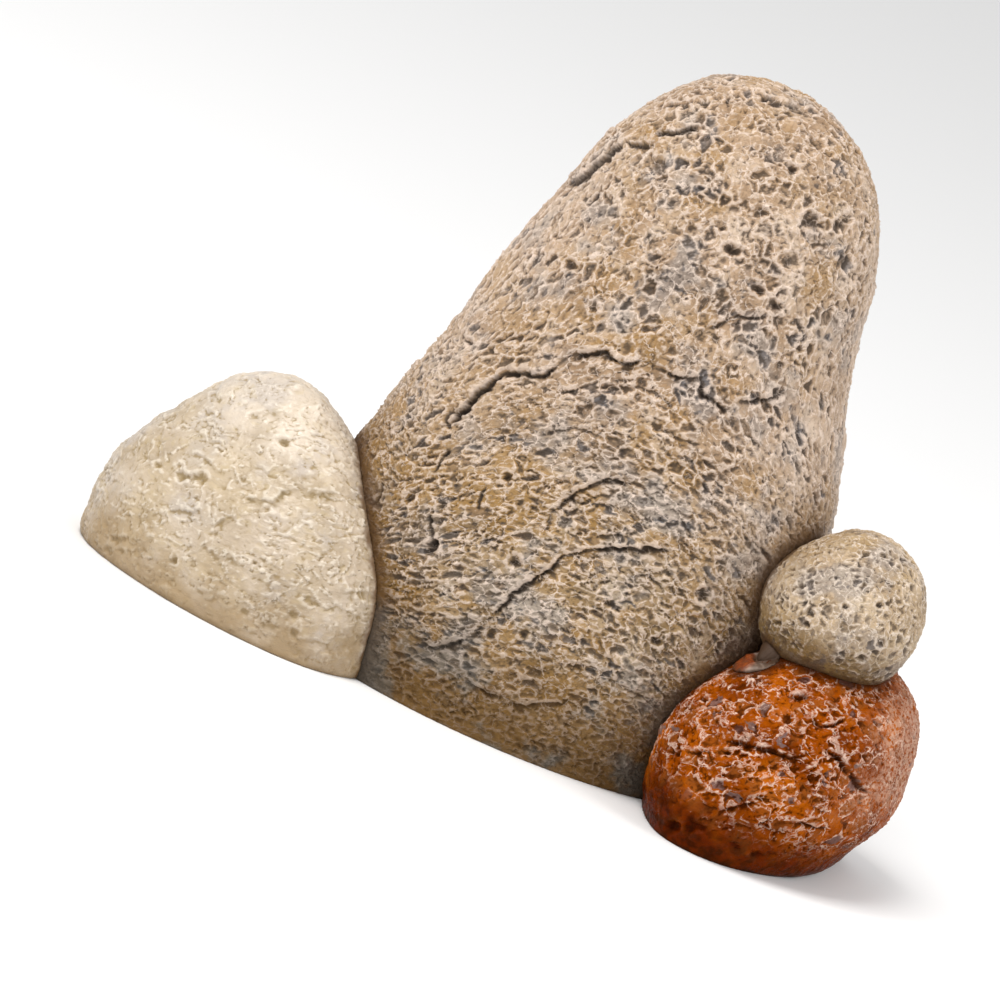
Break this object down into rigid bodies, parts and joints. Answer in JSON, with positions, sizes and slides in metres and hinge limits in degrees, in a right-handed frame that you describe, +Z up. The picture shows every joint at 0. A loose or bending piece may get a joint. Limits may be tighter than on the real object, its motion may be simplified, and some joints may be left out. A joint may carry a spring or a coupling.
{
  "type": "hide-a-key rock",
  "caption": "Cluster of bonded cast stones with a flat underside, in which a hinged door with a turn latch closes a small key compartment.",
  "frame": {"origin": "centre of the whole footprint, on the plane that the stones stand on", "axes": "+Z up, -Y towards the front of the cluster, +X to the right as seen from the front"},
  "size_m": [0.1658, 0.08, 0.1336],
  "materials": {
    "tan_stone": "matte",
    "cream_stone": "satin",
    "rust_stone": "satin",
    "small_stone": "matte",
    "mortar": "matte",
    "black_plastic": "matte",
    "grey_plastic": "satin",
    "gasket_rubber": "matte",
    "foam": "matte",
    "steel": "satin",
    "zinc_steel": "satin"
  },
  "bodies": {
    "rock": {"main_rock": "tan_stone", "cream_rock": "cream_stone", "rust_rock": "rust_stone", "small_tan_rock": "small_stone", "mortar_web": "mortar", "key_box": "black_plastic", "box_gasket": "gasket_rubber", "box_screws": "zinc_steel", "foam_pad": "foam", "hinge_pin": "steel"},
    "door": {"door": "grey_plastic", "door_seal": "gasket_rubber"},
    "latch": {"latch_knob": "black_plastic", "latch_cam": "steel", "latch_screw": "zinc_steel"}
  },
  "joints": [
    {"name": "door_hinge", "type": "hinge", "parent": "rock", "child": "door", "pos_m": [0.00419, 0.02678, 0.0028], "axis": [1, 0, 0], "range_deg": [0, 100]},
    {"name": "latch_turn", "type": "hinge", "parent": "door", "child": "latch", "pos_m": [0.00419, -0.00032, 0.003], "axis": [0, 0, -1], "range_deg": [0, 90]}
  ]
}
